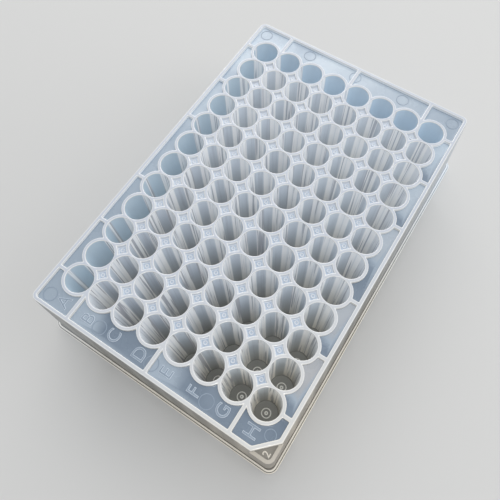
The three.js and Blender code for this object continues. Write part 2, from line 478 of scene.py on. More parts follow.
class Moulding:
    """Rings of points at a height, joined into closed surfaces with every face turned out."""

    def __init__(self):
        self.points = []
        self.glow = []  # the light painted on the wells' walls and the deck, for each point
        self.faces = []
        self.finishes = []

    def ring(self, plan, z, glow=None):
        first = len(self.points)
        self.points.extend((p[0], p[1], z) for p in plan)
        self.glow.extend(glow if glow is not None else [0.0] * len(plan))
        return list(range(first, len(self.points)))

    def round_mark(self, centre, profile, base, corners):
        """A round mark's rings, for a profile of radii and heights over its base."""
        around = even_angles(corners)
        return [self.ring(circle(centre, radius, around), base + rise) for radius, rise in profile]

    def face(self, corners, finish):
        self.faces.append(corners)
        self.finishes.append(finish)

    def sweep(self, rings, finish):
        """Joins rings in turn. Going out faces up, going down faces out, and going in faces down."""
        for a, b in zip(rings, rings[1:]):
            count = len(a)
            for i in range(count):
                j = (i + 1) % count
                self.face((a[i], b[i], b[j], a[j]), finish)

    def fill(self, outer, holes, finish, up=True, free=()):
        """A flat face inside one ring and outside others, through any free points inside it."""
        if not holes and not free:
            self.face(tuple(outer) if up else tuple(reversed(outer)), finish)
            return
        indices = list(outer)
        borders = [list(range(len(outer)))]
        for hole in holes:
            start = len(indices)
            indices.extend(hole)
            borders.append(list(range(start, len(indices))))
        indices.extend(free)
        plan = [Vector(self.points[i][:2]) for i in indices]
        found = delaunay_2d_cdt(plan, [], borders, 0, SAME_POINT)
        _, _, triangles, from_spots, _, from_faces = found
        for corners, sources in zip(triangles, from_faces):
            if sources != [0]:
                continue
            whole = [indices[from_spots[c][0]] for c in corners]
            a, b, c = (Vector(self.points[i][:2]) for i in whole)
            turn = (b - a).cross(c - a)
            if (turn > 0) != up:
                whole.reverse()
            self.face(tuple(whole), finish)

    def object(self, name, materials):
        mesh = bpy.data.meshes.new(name)
        mesh.from_pydata([(x * MM, y * MM, z * MM) for x, y, z in self.points], [], self.faces)
        mesh.polygons.foreach_set("material_index", self.finishes)
        mesh.polygons.foreach_set("use_smooth", [True] * len(self.faces))
        # The painted light, as a point attribute
        layer = mesh.attributes.new("glow", "FLOAT", "POINT")
        layer.data.foreach_set("value", self.glow)
        for material in materials:
            mesh.materials.append(material)
        mesh.validate()
        mesh.set_sharp_from_angle(angle=SHARP_ANGLE)
        made = in_scene(name, mesh)
        evened = made.modifiers.new("even shading", "WEIGHTED_NORMAL")
        evened.keep_sharp = True
        return made


# Angles round a well, closer together where its painted bands of light begin and end
QUADRANT = (0, 4, 13, 21, 27, 39, 51, 63, 69, 77, 86)
WELL_ANGLES = [math.radians(90 * quarter + a) for quarter in range(4) for a in QUADRANT]

# A well wall's painted light from the neighbour or the rib behind it, by the degrees away from it
NEIGHBOUR_GLOW = ((0, 0.45), (4, 0.85), (13, 0.9), (21, 1.0), (27, 0.0))
RIB_GLOW = ((0, 0.8), (4, 0.8), (13, 0.0))
# The same for a wall that faces the plate's +X, +Y, -X or -Y edge. -1 is a wall that is seen through,
# painted in a see-through blue.
OPEN_GLOW = (-1.0, -1.0, 0.42, 0.42)


def glow_at(profile, away):
    """The profile's value at an angle, with straight lines between its points."""
    for (first, low), (last, high) in zip(profile, profile[1:]):
        if away <= last:
            return low + (high - low) * (away - first) / (last - first)
    return profile[-1][1]


def wall_glow(column, row):
    """How much light is painted on a well's wall, as if it came through from behind, for each of its angles.

    A neighbour or a rib behind the wall gives a painted light band. Without them the wall's open sides
    decide.
    """
    behind = (column < COLUMNS, row > 1, column > 1, row < ROWS)
    found = []
    for angle in WELL_ANGLES:
        degrees = math.degrees(angle)
        quarter = int(degrees // 90)
        around = (quarter, (quarter + 1) % 4)
        glow = min([OPEN_GLOW[side] for side in around if not behind[side]], default=0.0)
        for side in range(4):
            away = abs((degrees - 90 * side + 180) % 360 - 180)
            band = 0.0
            if behind[side]:
                band = glow_at(NEIGHBOUR_GLOW, away)
            elif side % 2 == 1 and column in LONG_SIDE_RIB_COLUMNS:
                band = glow_at(RIB_GLOW, away)
            if band > 0:
                glow = max(glow, band)
        found.append(glow)
    return found


def add_wells(body):
    """Every well's inside, from the middle of its floor up to the rim plane. Returns the mouths."""
    mouths = []
    for column, row in WELLS:
        centre = centre_of(column, row)
        glow = wall_glow(column, row)

        def ring(radius, z, shown=None):
            return body.ring(circle(centre, radius, WELL_ANGLES), z, shown)

        pip = body.round_mark(centre, GATE_PIP, WELL_FLOOR, GATE_CORNERS)
        raised = body.round_mark(centre, GATE_RING, WELL_FLOOR, GATE_CORNERS)
        body.fill(pip[0], [], FLOOR)
        body.sweep(pip, GATE)
        body.sweep([pip[-1], raised[0]], FLOOR)
        body.sweep(raised, GATE)
        foot = [ring(well_radius(WELL_FLOOR) - WELL_FOOT, WELL_FLOOR)]
        body.fill(foot[0], [raised[-1]], FLOOR)
        for offset, drop in reversed(fillet(WELL_FOOT)[:-1]):
            z = WELL_FLOOR + offset
            foot.append(ring(well_radius(z) - drop, z, glow))
        body.sweep(foot, FLOOR)
        wall = [foot[-1], ring(well_radius(HEIGHT - EDGE), HEIGHT - EDGE, glow)]
        body.sweep(wall, WALL)
        mouth = [wall[-1]]
        for offset, drop in reversed(fillet(EDGE)[:-1]):
            mouth.append(ring(MOUTH_RADIUS + offset, HEIGHT - drop))
        body.sweep(mouth, RIM)
        mouths.append(mouth[-1])
    return mouths


def add_deck_walls(body, plan, foot_finish, wall_finish, glow=None):
    """Walls from the deck up into the rim plane, where plan(offset) is their outline, moved out.

    Returns the rings at their foot and at their mouth.
    """
    foot = []
    for offset, drop in reversed(fillet(FOOT_FILLET)):
        path = plan(-drop)
        foot.append(body.ring(path, DECK_TOP + offset, glow and [glow(*p) for p in path]))
    mouth = [foot[-1]]
    for offset, drop in reversed(fillet(EDGE)):
        mouth.append(body.ring(plan(offset), HEIGHT - drop))
    body.sweep(foot, foot_finish)
    body.sweep(mouth[:2], wall_finish)
    body.sweep(mouth[1:], RIM)
    return foot[0], mouth[-1]


def add_gaps(body):
    """The recess between each four wells, with its pip. Returns the recesses' mouths."""
    mouths = []
    for gap in GAPS:
        centre = centre_of(*gap)
        pip = body.round_mark(centre, GAP_PIP, DECK_TOP, PIP_CORNERS)
        body.fill(pip[0], [], HOLLOW)
        body.sweep(pip, RECESS)

        def plan(offset):
            return gap_outline(centre, RING_RADIUS - offset)

        foot, mouth = add_deck_walls(body, plan, RECESS, RECESS)
        body.fill(foot, [pip[-1]], HOLLOW)
        mouths.append(mouth)
    return mouths


def ejector_spots():
    spots = []
    for side in (-1, 1):
        for y in EJECTOR_ROWS:
            if side < 0 and y == EJECTOR_ROWS[-1]:
                spots.append((CORNER_EJECTOR, CORNER_EJECTOR_RADIUS))
            else:
                spots.append(((side * EJECTOR_X, y), EJECTOR_RADIUS))
    return spots


def add_ejector_marks(body):
    """A low ring for each ejector pin's mark. The middle one on each short side lies across a rib."""
    for centre, outer in ejector_spots():
        profile = [(outer + inward, rise) for inward, rise in EJECTOR_MARK]
        rings = body.round_mark(centre, profile, DECK_TOP, EJECTOR_CORNERS)
        body.sweep(rings + rings[:1], EJECTOR)


def deck_glow(x, y):
    """The light painted on the deck: light on two sides, and on the other two only just before each rib."""
    column_one, row_h = column_x(1), row_y(ROWS)
    if x > column_x(COLUMNS) or y > row_y(1.5):
        return FAR_DECK
    if x < column_one and y < row_h:
        return 0.0
    if x < column_one:
        ribs = [row_y(row + 0.5) for row in SHORT_SIDE_RIBS_AFTER_ROW[:-1]]
        place, depth, reach, most = y, x + HALF_LENGTH, SHORT_SIDE_PATCH, 1.0
    else:
        ribs = [column_x(column) for column in LONG_SIDE_RIB_COLUMNS[1:]]
        place, depth, reach, most = x, y + HALF_WIDTH, LONG_SIDE_PATCH, PALE_GLOW
    beyond = [rib - place for rib in ribs if rib >= place]
    if not beyond:
        return 0.0
    reach -= PATCH_SLANT * depth / (HALF_LENGTH + column_one)
    return most * (1 - min(max((min(beyond) - reach) / PATCH_FADE, 0), 1))


def inner_points(ring, spacing, clearance):
    """A grid of points inside a ring and clear of it."""
    xs = [p.x for p in ring]
    ys = [p.y for p in ring]
    found = []
    for i in range(math.ceil(min(xs) / spacing), math.floor(max(xs) / spacing) + 1):
        for j in range(math.ceil(min(ys) / spacing), math.floor(max(ys) / spacing) + 1):
            spot = Vector((i * spacing, j * spacing))
            crossings = 0
            clear = True
            for a, b in zip(ring, ring[1:] + ring[:1]):
                if (a.y > spot.y) != (b.y > spot.y):
                    crossings += spot.x < a.x + (b.x - a.x) * (spot.y - a.y) / (b.y - a.y)
                along = min(max((spot - a).dot(b - a) / (b - a).length_squared, 0), 1)
                clear = clear and (a + (b - a) * along - spot).length > clearance
            if crossings % 2 and clear:
                found.append(spot)
    return found


def add_pockets(body):
    """The deck's pockets round the rings. Returns their mouths."""
    mouths = []
    for pocket in range(POCKETS):

        def plan(offset):
            return pocket_outline(pocket, offset)

        foot, mouth = add_deck_walls(body, plan, DECK, COLLAR, deck_glow)
        inside = inner_points(plan(-FOOT_FILLET), DECK_GRID, DECK_GRID / 3)
        free = body.ring(inside, DECK_TOP, [deck_glow(*p) for p in inside])
        body.fill(foot, [], DECK, free=free)
        mouths.append(mouth)
    return mouths


def edge_plan(inset, radius, cut, straight):
    """The plate's outline at an inset. straight is True where the cut corner takes the round one's place."""
    upper, lower = cut_ends(inset, cut)
    border = Vector((SHELF_BORDER, -SHELF_BORDER))
    first, second, third, last = (corner_arc(side, inset, radius).points() for side in range(4))
    corner = [upper + border, lower - border] if straight else second
    return first + [upper] + corner + [lower] + third + last


def skirt_plan(z, straight):
    return edge_plan(skirt_inset(z), skirt_corner(z), cut_line(0), straight)


def flange_plan(inset):
    return edge_plan(inset, FOOTPRINT_CORNER - inset, cut_line(0), False)


def add_outside(body):
    """The skirt, the shelf and the flange. Returns the rim's ring and the ring inside the flange's lip."""
    rings = []
    for offset, drop in fillet(RIM_EDGE):
        z = HEIGHT - drop
        plan = edge_plan(skirt_inset(z) + offset, skirt_corner(z) - offset, cut_line(offset), True)
        rings.append(body.ring(plan, z))
    rim = rings[0]
    body.sweep(rings, RIM)

    # The shelf: a low wall carries on round the corner, with a floor inside it.
    shelf = body.ring(skirt_plan(SHELF_WALL, False), SHELF_WALL)
    start = CORNER_STEPS + 1
    end = start + CORNER_STEPS + 2
    outside = shelf[start : end + 1]
    inset = skirt_inset(SHELF_WALL) + SHELF_BORDER
    upper, lower = cut_ends(inset, cut_line(0))
    inner = [upper] + corner_arc(1, inset, skirt_corner(SHELF_WALL) - SHELF_BORDER).points() + [lower]
    wall_top = body.ring(inner, SHELF_WALL)
    wall_foot = body.ring(inner, SHELF_FLOOR)
    for i in range(len(outside) - 1):
        body.face((outside[i], outside[i + 1], wall_top[i + 1], wall_top[i]), BORDER)
        body.face((wall_top[i], wall_top[i + 1], wall_foot[i + 1], wall_foot[i]), SHELF)
    body.face((wall_top[0], wall_foot[0], wall_foot[-1], wall_top[-1]), SHELF)
    body.fill(wall_foot, [], SHELF)
    cut_foot = shelf[: start + 1] + [wall_top[0], wall_top[-1]] + shelf[end:]
    body.sweep([rings[-1], cut_foot], SKIRT)

    # The skirt below the shelf, and the stepped flange
    line, foot = FLANGE_HEIGHT + SKIRT_SHADE_LINE, FLANGE_HEIGHT + SKIRT_FOOT
    rings = [body.ring(skirt_plan(z, False), z) for z in (line, foot)]
    body.sweep([shelf, rings[0]], SKIRT)
    tier = FLANGE_HEIGHT - STEP_DROP
    upper = [(STEP_INSET + offset, FLANGE_HEIGHT - drop) for offset, drop in fillet(STEP_EDGE)]
    lower = [(offset, tier - drop) for offset, drop in fillet(FLANGE_EDGE)]
    ledge = [(FOOT_INSET - reach, FLANGE_HEIGHT) for reach in (SKIRT_FOOT, 2 * SKIRT_FOOT)]
    # Painted shade at the skirt's foot and on the step, and painted highlights round the step's edge and the
    # flange's outer edge
    bands = (
        (STEP_SHADE, ledge),
        (LIP_HIGHLIGHT, upper),
        (STEP_SHADE, [(STEP_INSET, tier + STEP_FOOT), (STEP_INSET - STEP_FOOT, tier), lower[0]]),
        (LIP_HIGHLIGHT, lower[1:] + [(0, tier - FLANGE_EDGE - HIGHLIGHT_REACH)]),
        (SKIRT, [(0, FLANGE_FOOT), (FLANGE_FOOT, 0), (FLANGE_LIP, 0), (FLANGE_LIP, LEDGE_UNDER)]),
    )
    for finish, profile in bands:
        rings += [body.ring(flange_plan(inset), z) for inset, z in profile]
        body.sweep(rings, finish)
        rings = rings[-1:]
    return rim, rings[0]


def under_paths(pocket, z, cut):
    """One pocket under the deck at a height: its path along the tubes, and its path along the skirt."""
    half_web = WEB_THICKNESS / 2
    radius = max(skirt_corner(z) - SKIRT_WALL, LEAST_CORNER)
    edge = edge_pieces(pocket, skirt_inset(z) + SKIRT_WALL, radius, half_web, cut)
    tubes = block_arcs(pocket, tube_radius(z), half_web)
    return joined(tubes, closed=False), joined(edge, closed=False)


def add_strip(body, upper, lower, outward):
    """The wall between two open paths, one above the other."""
    for i in range(len(upper) - 1):
        corners = (upper[i], lower[i], lower[i + 1], upper[i + 1])
        body.face(corners if outward else tuple(reversed(corners)), UNDER)


def add_under_pocket(body, pocket):
    """One pocket from the deck's underside down to the webs' feet. Returns its lower paths."""
    cornered = RIBS[pocket][0] == 1 and RIBS[(pocket + 1) % POCKETS][0] == 2
    cut = cut_line(SKIRT_WALL) if cornered else None
    tubes, skirt = under_paths(pocket, DECK_UNDER, cut)
    tube_path = body.ring(tubes, DECK_UNDER)
    skirt_path = body.ring(skirt, DECK_UNDER)
    body.fill(skirt_path + tube_path[::-1], [], UNDER, up=False)
    for z in ([SHELF_UNDER] if cornered else []) + [WEB_FOOT]:
        tubes, skirt = under_paths(pocket, z, None)
        next_tubes = body.ring(tubes, z)
        next_skirt = body.ring(skirt, z)
        foot = next_skirt
        if z == SHELF_UNDER:
            straight = under_paths(pocket, z, cut)[1]
            foot = [next_skirt[0]] + body.ring(straight[1:-1], z) + [next_skirt[-1]]
            body.fill(next_skirt + foot[-2:0:-1], [], UNDER, up=False)
        add_strip(body, skirt_path, foot, False)
        add_strip(body, tube_path, next_tubes, True)
        body.face((skirt_path[0], foot[0], next_tubes[0], tube_path[0]), UNDER)
        body.face((tube_path[-1], next_tubes[-1], foot[-1], skirt_path[-1]), UNDER)
        tube_path, skirt_path = next_tubes, next_skirt
    return tube_path, skirt_path


def add_underside(body, ledge):
    """The hollow under the deck: the tubes, the webs and the inside of the skirt."""
    paths = [add_under_pocket(body, pocket) for pocket in range(POCKETS)]
    for (tubes, skirt), (next_tubes, next_skirt) in zip(paths, paths[1:] + paths[:1]):
        body.face((skirt[-1], tubes[-1], next_tubes[0], next_skirt[0]), UNDER)

    low_skirt = [p for k in range(POCKETS) for p in under_paths(k, LEDGE_UNDER, None)[1]]
    low_ring = body.ring(low_skirt, LEDGE_UNDER)
    body.sweep([low_ring, [i for _, skirt in paths for i in skirt]], UNDER)
    body.fill(ledge, [low_ring], UNDER, up=False)

    rings = [[i for tubes, _ in paths for i in tubes]]
    for offset, drop in fillet(TUBE_EDGE):
        z = TUBE_BOTTOM + offset
        plan = []
        for pocket in range(POCKETS):
            arcs = block_arcs(pocket, tube_radius(z) - drop, WEB_THICKNESS / 2)
            plan += joined(arcs, closed=False)
        rings.append(body.ring(plan, z))
    body.sweep(rings, UNDER)

    holes = []
    for gap in GAPS:
        centre = centre_of(*gap)
        roof = body.ring(gap_outline(centre, tube_radius(DECK_UNDER)), DECK_UNDER)
        body.fill(roof, [], UNDER, up=False)
        z = TUBE_BOTTOM + GAP_EDGE
        wall = body.ring(gap_outline(centre, tube_radius(z)), z)
        foot = body.ring(gap_outline(centre, tube_radius(TUBE_BOTTOM) - GAP_EDGE), TUBE_BOTTOM)
        body.sweep([foot, wall, roof], UNDER)
        holes.append(foot)
    for well in WELLS:
        dimple = body.round_mark(centre_of(*well), TUBE_DIMPLE, TUBE_BOTTOM, DIMPLE_CORNERS)
        body.sweep(dimple, UNDER)
        body.fill(dimple[-1], [], UNDER, up=False)
        holes.append(dimple[0])
    body.fill(rings[-1], holes, UNDER, up=False)


def add_top(body):
    """The rim plane, with everything that opens into it."""
    wells = add_wells(body)
    gaps = add_gaps(body)
    pockets = add_pockets(body)
    add_ejector_marks(body)
    rim, ledge = add_outside(body)
    body.fill(rim, wells + gaps + pockets, LAND)
    return ledge


# ---------------------------------------------------------------- raised letters


def raised_text(text, cap_height, centre, floor, bevel):
    """A raised letter or number as a list of corners and faces, standing a little into its floor."""
    curve = bpy.data.curves.new("text", "FONT")
    curve.body = text
    curve.resolution_u = TEXT_STEPS
    holder = in_scene("text", curve)
    bpy.context.view_layer.update()
    flat = bpy.data.meshes.new_from_object(holder)
    across = [v.co.x for v in flat.vertices]
    tall = [v.co.y for v in flat.vertices]
    scale = cap_height / (max(tall) - min(tall))
    bpy.data.meshes.remove(flat)
    curve.extrude = (TEXT_RISE + TEXT_ROOT - bevel * 2) / 2 / scale
    curve.bevel_depth = bevel / scale
    curve.bevel_resolution = 1
    curve.offset = -TEXT_NARROWED * bevel / scale
    bpy.context.view_layer.update()
    solid = bpy.data.meshes.new_from_object(holder.evaluated_get(bpy.context.evaluated_depsgraph_get()))
    bottom = min(v.co.z for v in solid.vertices)
    middle = Vector(((max(across) + min(across)) / 2, (max(tall) + min(tall)) / 2, bottom))
    place = Vector((*centre, floor - TEXT_ROOT))
    corners = [place + (v.co - middle) * scale for v in solid.vertices]
    faces = [tuple(p.vertices) for p in solid.polygons]
    bpy.data.objects.remove(holder)
    bpy.data.meshes.remove(solid)
    bpy.data.curves.remove(curve)
    return corners, faces


def text_object(name, texts, top, edge):
    """Raised texts, as one object, with one finish on their flat tops and another on their edges."""
    corners, faces = [], []
    for text in texts:
        found, between = raised_text(*text)
        faces += [tuple(i + len(corners) for i in face) for face in between]
        corners += found
    mesh = bpy.data.meshes.new(name)
    mesh.from_pydata([tuple(c * MM) for c in corners], [], faces)
    mesh.validate()
    mesh.polygons.foreach_set("use_smooth", [True] * len(mesh.polygons))
    mesh.set_sharp_from_angle(angle=SHARP_ANGLE)
    mesh.materials.append(top)
    mesh.materials.append(edge)
    mesh.polygons.foreach_set("material_index", [int(p.normal.z < FLAT_TOP) for p in mesh.polygons])
    made = in_scene(name, mesh)
    welded = made.modifiers.new("weld", "WELD")
    welded.merge_threshold = TEXT_WELD * MM
    return made


# ---------------------------------------------------------------- tones, and the light and shade painted into them


def srgb(red, green, blue):
    """A colour given as it looks on screen, 0 to 255, as linear values by the sRGB curve."""
    linear = []
    for value in (red, green, blue):
        share = value / 255
        linear.append(share / 12.92 if share <= 0.04045 else ((share + 0.055) / 1.055) ** 2.4)
    return (*linear, 1.0)


# Painted light across the plate: what a finish turns into far from the cut corner, and from where to where
# it turns, by Nodes.away
PAINTED_LIGHT_DRIFT = {
    RIM: ((220, 222, 223), -95, -60),
    COLLAR: ((236, 240, 244), -40, 20),
    LAND: ((186, 192, 202), -95, -20),
    HOLLOW: ((202, 209, 219), -20, 80),
    SKIRT: ((190, 198, 206), -45, 20),
    LIP_HIGHLIGHT: ((224, 230, 236), -60, 15),
    STEP_SHADE: ((160, 170, 180), -45, 20),
}

# The deck: its painted shade and light by its glow, its palest painted patches, and painted light far
# from the cut corner. A span is from where to where a tone turns into the next one, by Nodes.away.
DECK_SHADE = srgb(107, 121, 137)
DECK_LIGHT = srgb(158, 171, 184)
DECK_PALE = srgb(170, 172, 176)
DECK_FAR_PALE = srgb(176, 189, 201)
DECK_PALE_SPAN = (-70, 0)
DECK_CLOUD = srgb(144, 157, 172)
DECK_CLOUD_SCALE = 90.0
DECK_CLOUD_SHARE = 0.45
DECK_FAR_LIGHT = srgb(206, 217, 226)
DECK_FAR_SHADE = srgb(156, 171, 187)
DECK_FAR_SCALE = 75.0
DECK_FAR_SPAN = (10, 110)

# The skirt's painted light, warmer near the cut corner, with light bands where tubes stand behind it
SKIRT_LIGHT = srgb(176, 168, 154)
SKIRT_SHADE = srgb(146, 139, 128)
# Painted shade on the skirt away from the cut corner
SKIRT_MIDDLE_LIGHT = srgb(140, 138, 132)
SKIRT_MIDDLE_SHADE = srgb(112, 111, 106)
SKIRT_MIDDLE_SPAN = (-92, -66)
SKIRT_CLOUDS = 0.25
BAND_START = 0.6  # of a wave that is -1 at a tube's middle and 1 between two tubes
BAND_FADE = 1.0

# The wells' walls, painted dark and light by their glow
WALL_LIGHT = srgb(252, 253, 254)
WALL_DARK = srgb(172, 185, 200)
# Painted light: the dark parts are paler near the mouth and far from the cut corner
WALL_MOUTH_DARK = srgb(204, 213, 224)
MOUTH_DEPTH = 11.0
WALL_FAR_DARK = srgb(210, 219, 229)
WALL_FAR_SPAN = (-70, 50, -0.3)
WALL_LOW_LIGHT = srgb(250, 247, 240)
WALL_LOW_DARK = srgb(180, 181, 178)
# A painted warm light near the cut corner
WALL_NEAR_TINT = (1.0, 0.95, 0.86, 1.0)
WALL_NEAR_SPAN = (-100, -45)
UNTINTED = (1.0, 1.0, 1.0, 1.0)
# Painted see-through blue, for a wall that is seen through
WALL_OPEN = srgb(190, 207, 219)
WALL_FAR_OPEN = srgb(194, 213, 229)
WALL_OPEN_SPAN = (0, 40, -1.0)

# Painted upright streaks of shade, as refraction through the walls behind makes them
STREAK = srgb(148, 150, 157)
FAR_STREAK = srgb(172, 178, 190)
STREAK_SQUASH = (1.0, 1.0, 0.012)  # stretches the streaks upright
STREAK_SCALE = 1500.0
STREAK_NOISE = (0.545, 0.61)  # where a streak begins, and where it is full
STREAK_SHARE = 0.8
GAP_STREAKS = 0.3  # how strong the streaks are on a dark wall
STREAKED_GLOW = 0.4  # the glow from which on they are full

CLOUD_SCALE = 55.0
CLOUD_DETAIL = 3.0
CLOUD_NOISE = (0.3, 0.7)
SATIN_SCALE = 260.0
SATIN_DRIFT = (-0.05, 0.06)
GRAIN = 0.05
OWN_GRAIN = {WALL: 0.0, SKIRT: 0.08}
GRAIN_SCALE = 1900.0
GRAIN_DEPTH = 0.1
POLYPROPYLENE_IOR = 1.49
LAMPS_THROUGH = (0.93, 0.935, 0.94, 1.0)  # how much of the lamps' light a wall's face lets in

# ---------------------------------------------------------------- materials


class Nodes:
    """A short way to add and join nodes. A value is a number, a colour or another node's output."""

    def __init__(self, owner, output):
        owner.use_nodes = True
        self.tree = owner.node_tree
        self.tree.nodes.clear()
        self.output = self.add(output)

    def add(self, kind, values=None, **settings):
        """A new node with its settings, and with values for some of its inputs, by name or number."""
        node = self.tree.nodes.new(kind)
        for key, setting in settings.items():
            setattr(node, key, setting)
        self.feed(node, values or {})
        return node

    def feed(self, node, values):
        for key, value in values.items():
            if isinstance(value, bpy.types.NodeSocket):
                self.tree.links.new(value, node.inputs[key])
            else:
                node.inputs[key].default_value = value

    def place(self):
        return self.add("ShaderNodeTexCoord").outputs["Object"]

    def parts(self, vector):
        return self.add("ShaderNodeSeparateXYZ", {"Vector": vector}).outputs

    def glow(self):
        return self.add("ShaderNodeAttribute", attribute_name="glow").outputs["Fac"]

    def away(self, start, end, sideways=1.0):
        """How far off a spot lies: x + sideways * y in mm, 0 up to start and 1 from end on.
        It places the light painted across the plate.
        """
        spot = self.parts(self.place())
        distance = self.math("ADD", spot["X"], self.math("MULTIPLY", spot["Y"], sideways))
        return self.spread(distance, start * MM, end * MM, 0.0, 1.0)

    def noise(self, place, scale, detail=2.0):
        values = {"Vector": place, "Scale": scale, "Detail": detail}
        return self.add("ShaderNodeTexNoise", values).outputs["Fac"]

    def clouds(self, scale, low, high):
        return self.spread(self.noise(self.place(), scale, CLOUD_DETAIL), *CLOUD_NOISE, low, high)

    def spread(self, value, low, high, to_low, to_high):
        values = {"Value": value, "From Min": low, "From Max": high, "To Min": to_low, "To Max": to_high}
        return self.add("ShaderNodeMapRange", values).outputs["Result"]

    def math(self, operation, first, second=0.0):
        return self.add("ShaderNodeMath", {0: first, 1: second}, operation=operation).outputs[0]

    def mix(self, share, first, second, blend="MIX"):
        """Mixes two colours. A Mix node's colours are its inputs 6 and 7, and its output 2."""
        values = {0: share, 6: first, 7: second}
        return self.add("ShaderNodeMix", values, data_type="RGBA", blend_type=blend).outputs[2]

    def show(self, share, first, second):
        """Shows a blend of two shaders on the surface."""
        blend = self.add("ShaderNodeMixShader", {0: share, 1: first.outputs[0], 2: second.outputs[0]})
        self.feed(self.output, {"Surface": blend.outputs[0]})


def polypropylene(name, tone, roughness, grain):
    """Natural polypropylene: milky, satin, with a fine moulded grain.

    tone(nodes) gives the base colour, with the light and shade painted into it.
    Some of the lamps' light comes through every wall.
    """
    material = bpy.data.materials.new(name)
    nodes = Nodes(material, "ShaderNodeOutputMaterial")
    satin = nodes.clouds(SATIN_SCALE, *(roughness + drift for drift in SATIN_DRIFT))
    values = {"IOR": POLYPROPYLENE_IOR, "Base Color": tone(nodes), "Roughness": satin}
    if grain > 0:
        height = nodes.noise(nodes.place(), GRAIN_SCALE)
        bumps = {"Strength": grain, "Distance": GRAIN_DEPTH * MM, "Height": height}
        values["Normal"] = nodes.add("ShaderNodeBump", bumps).outputs["Normal"]
    surface = nodes.add("ShaderNodeBsdfPrincipled", values)
    through = nodes.add("ShaderNodeBsdfTransparent", {"Color": LAMPS_THROUGH})
    nodes.show(nodes.add("ShaderNodeLightPath").outputs["Is Shadow Ray"], surface, through)
    return material


def clouded(light, shade):
    """A tone that drifts between two shades, as the plastic's thickness and flow do."""
    return lambda nodes: nodes.mix(nodes.clouds(CLOUD_SCALE, 0.0, 1.0), srgb(*shade), srgb(*light))


def drifting(near, far, start, end):
    """A tone that turns from near's into a far colour by its place: light painted to change across the plate.
    """
    return lambda nodes: nodes.mix(nodes.away(start, end), near(nodes), srgb(*far))


def deck_tone(nodes):
    """Painted light: lighter and then paler by its glow, with faint clouds, and light all over far from the
    cut corner.
    """
    glow = nodes.glow()
    light = nodes.mix(glow, DECK_SHADE, DECK_LIGHT)
    pale = nodes.mix(nodes.away(*DECK_PALE_SPAN), DECK_PALE, DECK_FAR_PALE)
    toned = nodes.mix(nodes.spread(glow, 1.0, PALE_GLOW, 0.0, 1.0), light, pale)
    near = nodes.mix(nodes.clouds(DECK_CLOUD_SCALE, 0.0, DECK_CLOUD_SHARE), toned, DECK_CLOUD)
    far = nodes.mix(nodes.clouds(DECK_FAR_SCALE, 0.0, 1.0), DECK_FAR_SHADE, DECK_FAR_LIGHT)
    return nodes.mix(nodes.away(*DECK_FAR_SPAN), near, far)


def skirt_tone(nodes):
    """Painted light: the row of tubes behind the skirt shows faintly, lighter where a tube stands close.
    Away from the cut corner it is painted darker, as in shade.
    """
    normal = nodes.parts(nodes.add("ShaderNodeNewGeometry").outputs["Normal"])
    turned = nodes.math("ABSOLUTE", normal["X"])
    short_side = nodes.math("GREATER_THAN", turned, nodes.math("ABSOLUTE", normal["Y"]))
    spot = nodes.parts(nodes.place())
    lengthwise = nodes.math("MULTIPLY", spot["X"], nodes.math("SUBTRACT", 1.0, short_side))
    along = nodes.math("ADD", lengthwise, nodes.math("MULTIPLY", spot["Y"], short_side))
    wave = nodes.math("COSINE", nodes.math("MULTIPLY", along, 2 * math.pi / (PITCH * MM)))
    close = nodes.spread(wave, BAND_START, -1.0, 0.0, 1.0)
    ends = nodes.spread(short_side, 0.0, 1.0, PITCH * COLUMNS / 2 * MM, PITCH * ROWS / 2 * MM)
    past = nodes.math("SUBTRACT", nodes.math("ABSOLUTE", along), ends)
    shown = nodes.math("MULTIPLY", close, nodes.spread(past, 0.0, BAND_FADE * MM, 1.0, 0.0))
    share = nodes.math("ADD", shown, nodes.clouds(CLOUD_SCALE, -SKIRT_CLOUDS, SKIRT_CLOUDS))
    middle = nodes.away(*SKIRT_MIDDLE_SPAN)
    shade = nodes.mix(middle, SKIRT_SHADE, SKIRT_MIDDLE_SHADE)
    light = nodes.mix(middle, SKIRT_LIGHT, SKIRT_MIDDLE_LIGHT)
    return nodes.mix(share, shade, light)


def streaks(nodes, glow, far):
    """How strong a wall's painted upright streaks of shade are, and their colour."""
    upright = nodes.add("ShaderNodeMapping", {"Scale": STREAK_SQUASH, "Vector": nodes.place()})
    noise = nodes.noise(upright.outputs["Vector"], STREAK_SCALE, CLOUD_DETAIL)
    found = nodes.spread(noise, *STREAK_NOISE, 0.0, STREAK_SHARE)
    share = nodes.math("MULTIPLY", found, nodes.spread(glow, 0.0, STREAKED_GLOW, GAP_STREAKS, 1.0))
    return share, nodes.mix(far, STREAK, FAR_STREAK)


def wall_tone(nodes):
    """Painted light by its glow, a painted see-through blue where that is below 0, and faint painted streaks.

    Low down it is warmer, and near the cut corner a painted warm light tints it.
    Near the mouth and far off its painted shade is paler.
    """
    glow = nodes.glow()
    height = nodes.parts(nodes.place())["Z"]
    low = nodes.spread(height, WELL_FLOOR * MM, HEIGHT * MM, 1.0, 0.0)
    mouth = nodes.spread(height, (HEIGHT - MOUTH_DEPTH) * MM, HEIGHT * MM, 0.0, 1.0)
    far = nodes.away(*WALL_FAR_SPAN)
    dark = nodes.mix(far, nodes.mix(mouth, WALL_DARK, WALL_MOUTH_DARK), WALL_FAR_DARK)
    upper = nodes.mix(glow, dark, WALL_LIGHT)
    lower = nodes.mix(glow, WALL_LOW_DARK, WALL_LOW_LIGHT)
    share, streak = streaks(nodes, glow, far)
    streaked = nodes.mix(share, nodes.mix(low, upper, lower), streak)
    tint = nodes.mix(nodes.away(*WALL_NEAR_SPAN), WALL_NEAR_TINT, UNTINTED)
    closed = nodes.mix(1.0, streaked, tint, "MULTIPLY")
    see_through = nodes.mix(nodes.away(*WALL_OPEN_SPAN), WALL_OPEN, WALL_FAR_OPEN)
    return nodes.mix(nodes.spread(glow, 0.0, -1.0, 0.0, 1.0), closed, see_through)


RIM_TONE = clouded((230, 227, 220), (224, 221, 214))

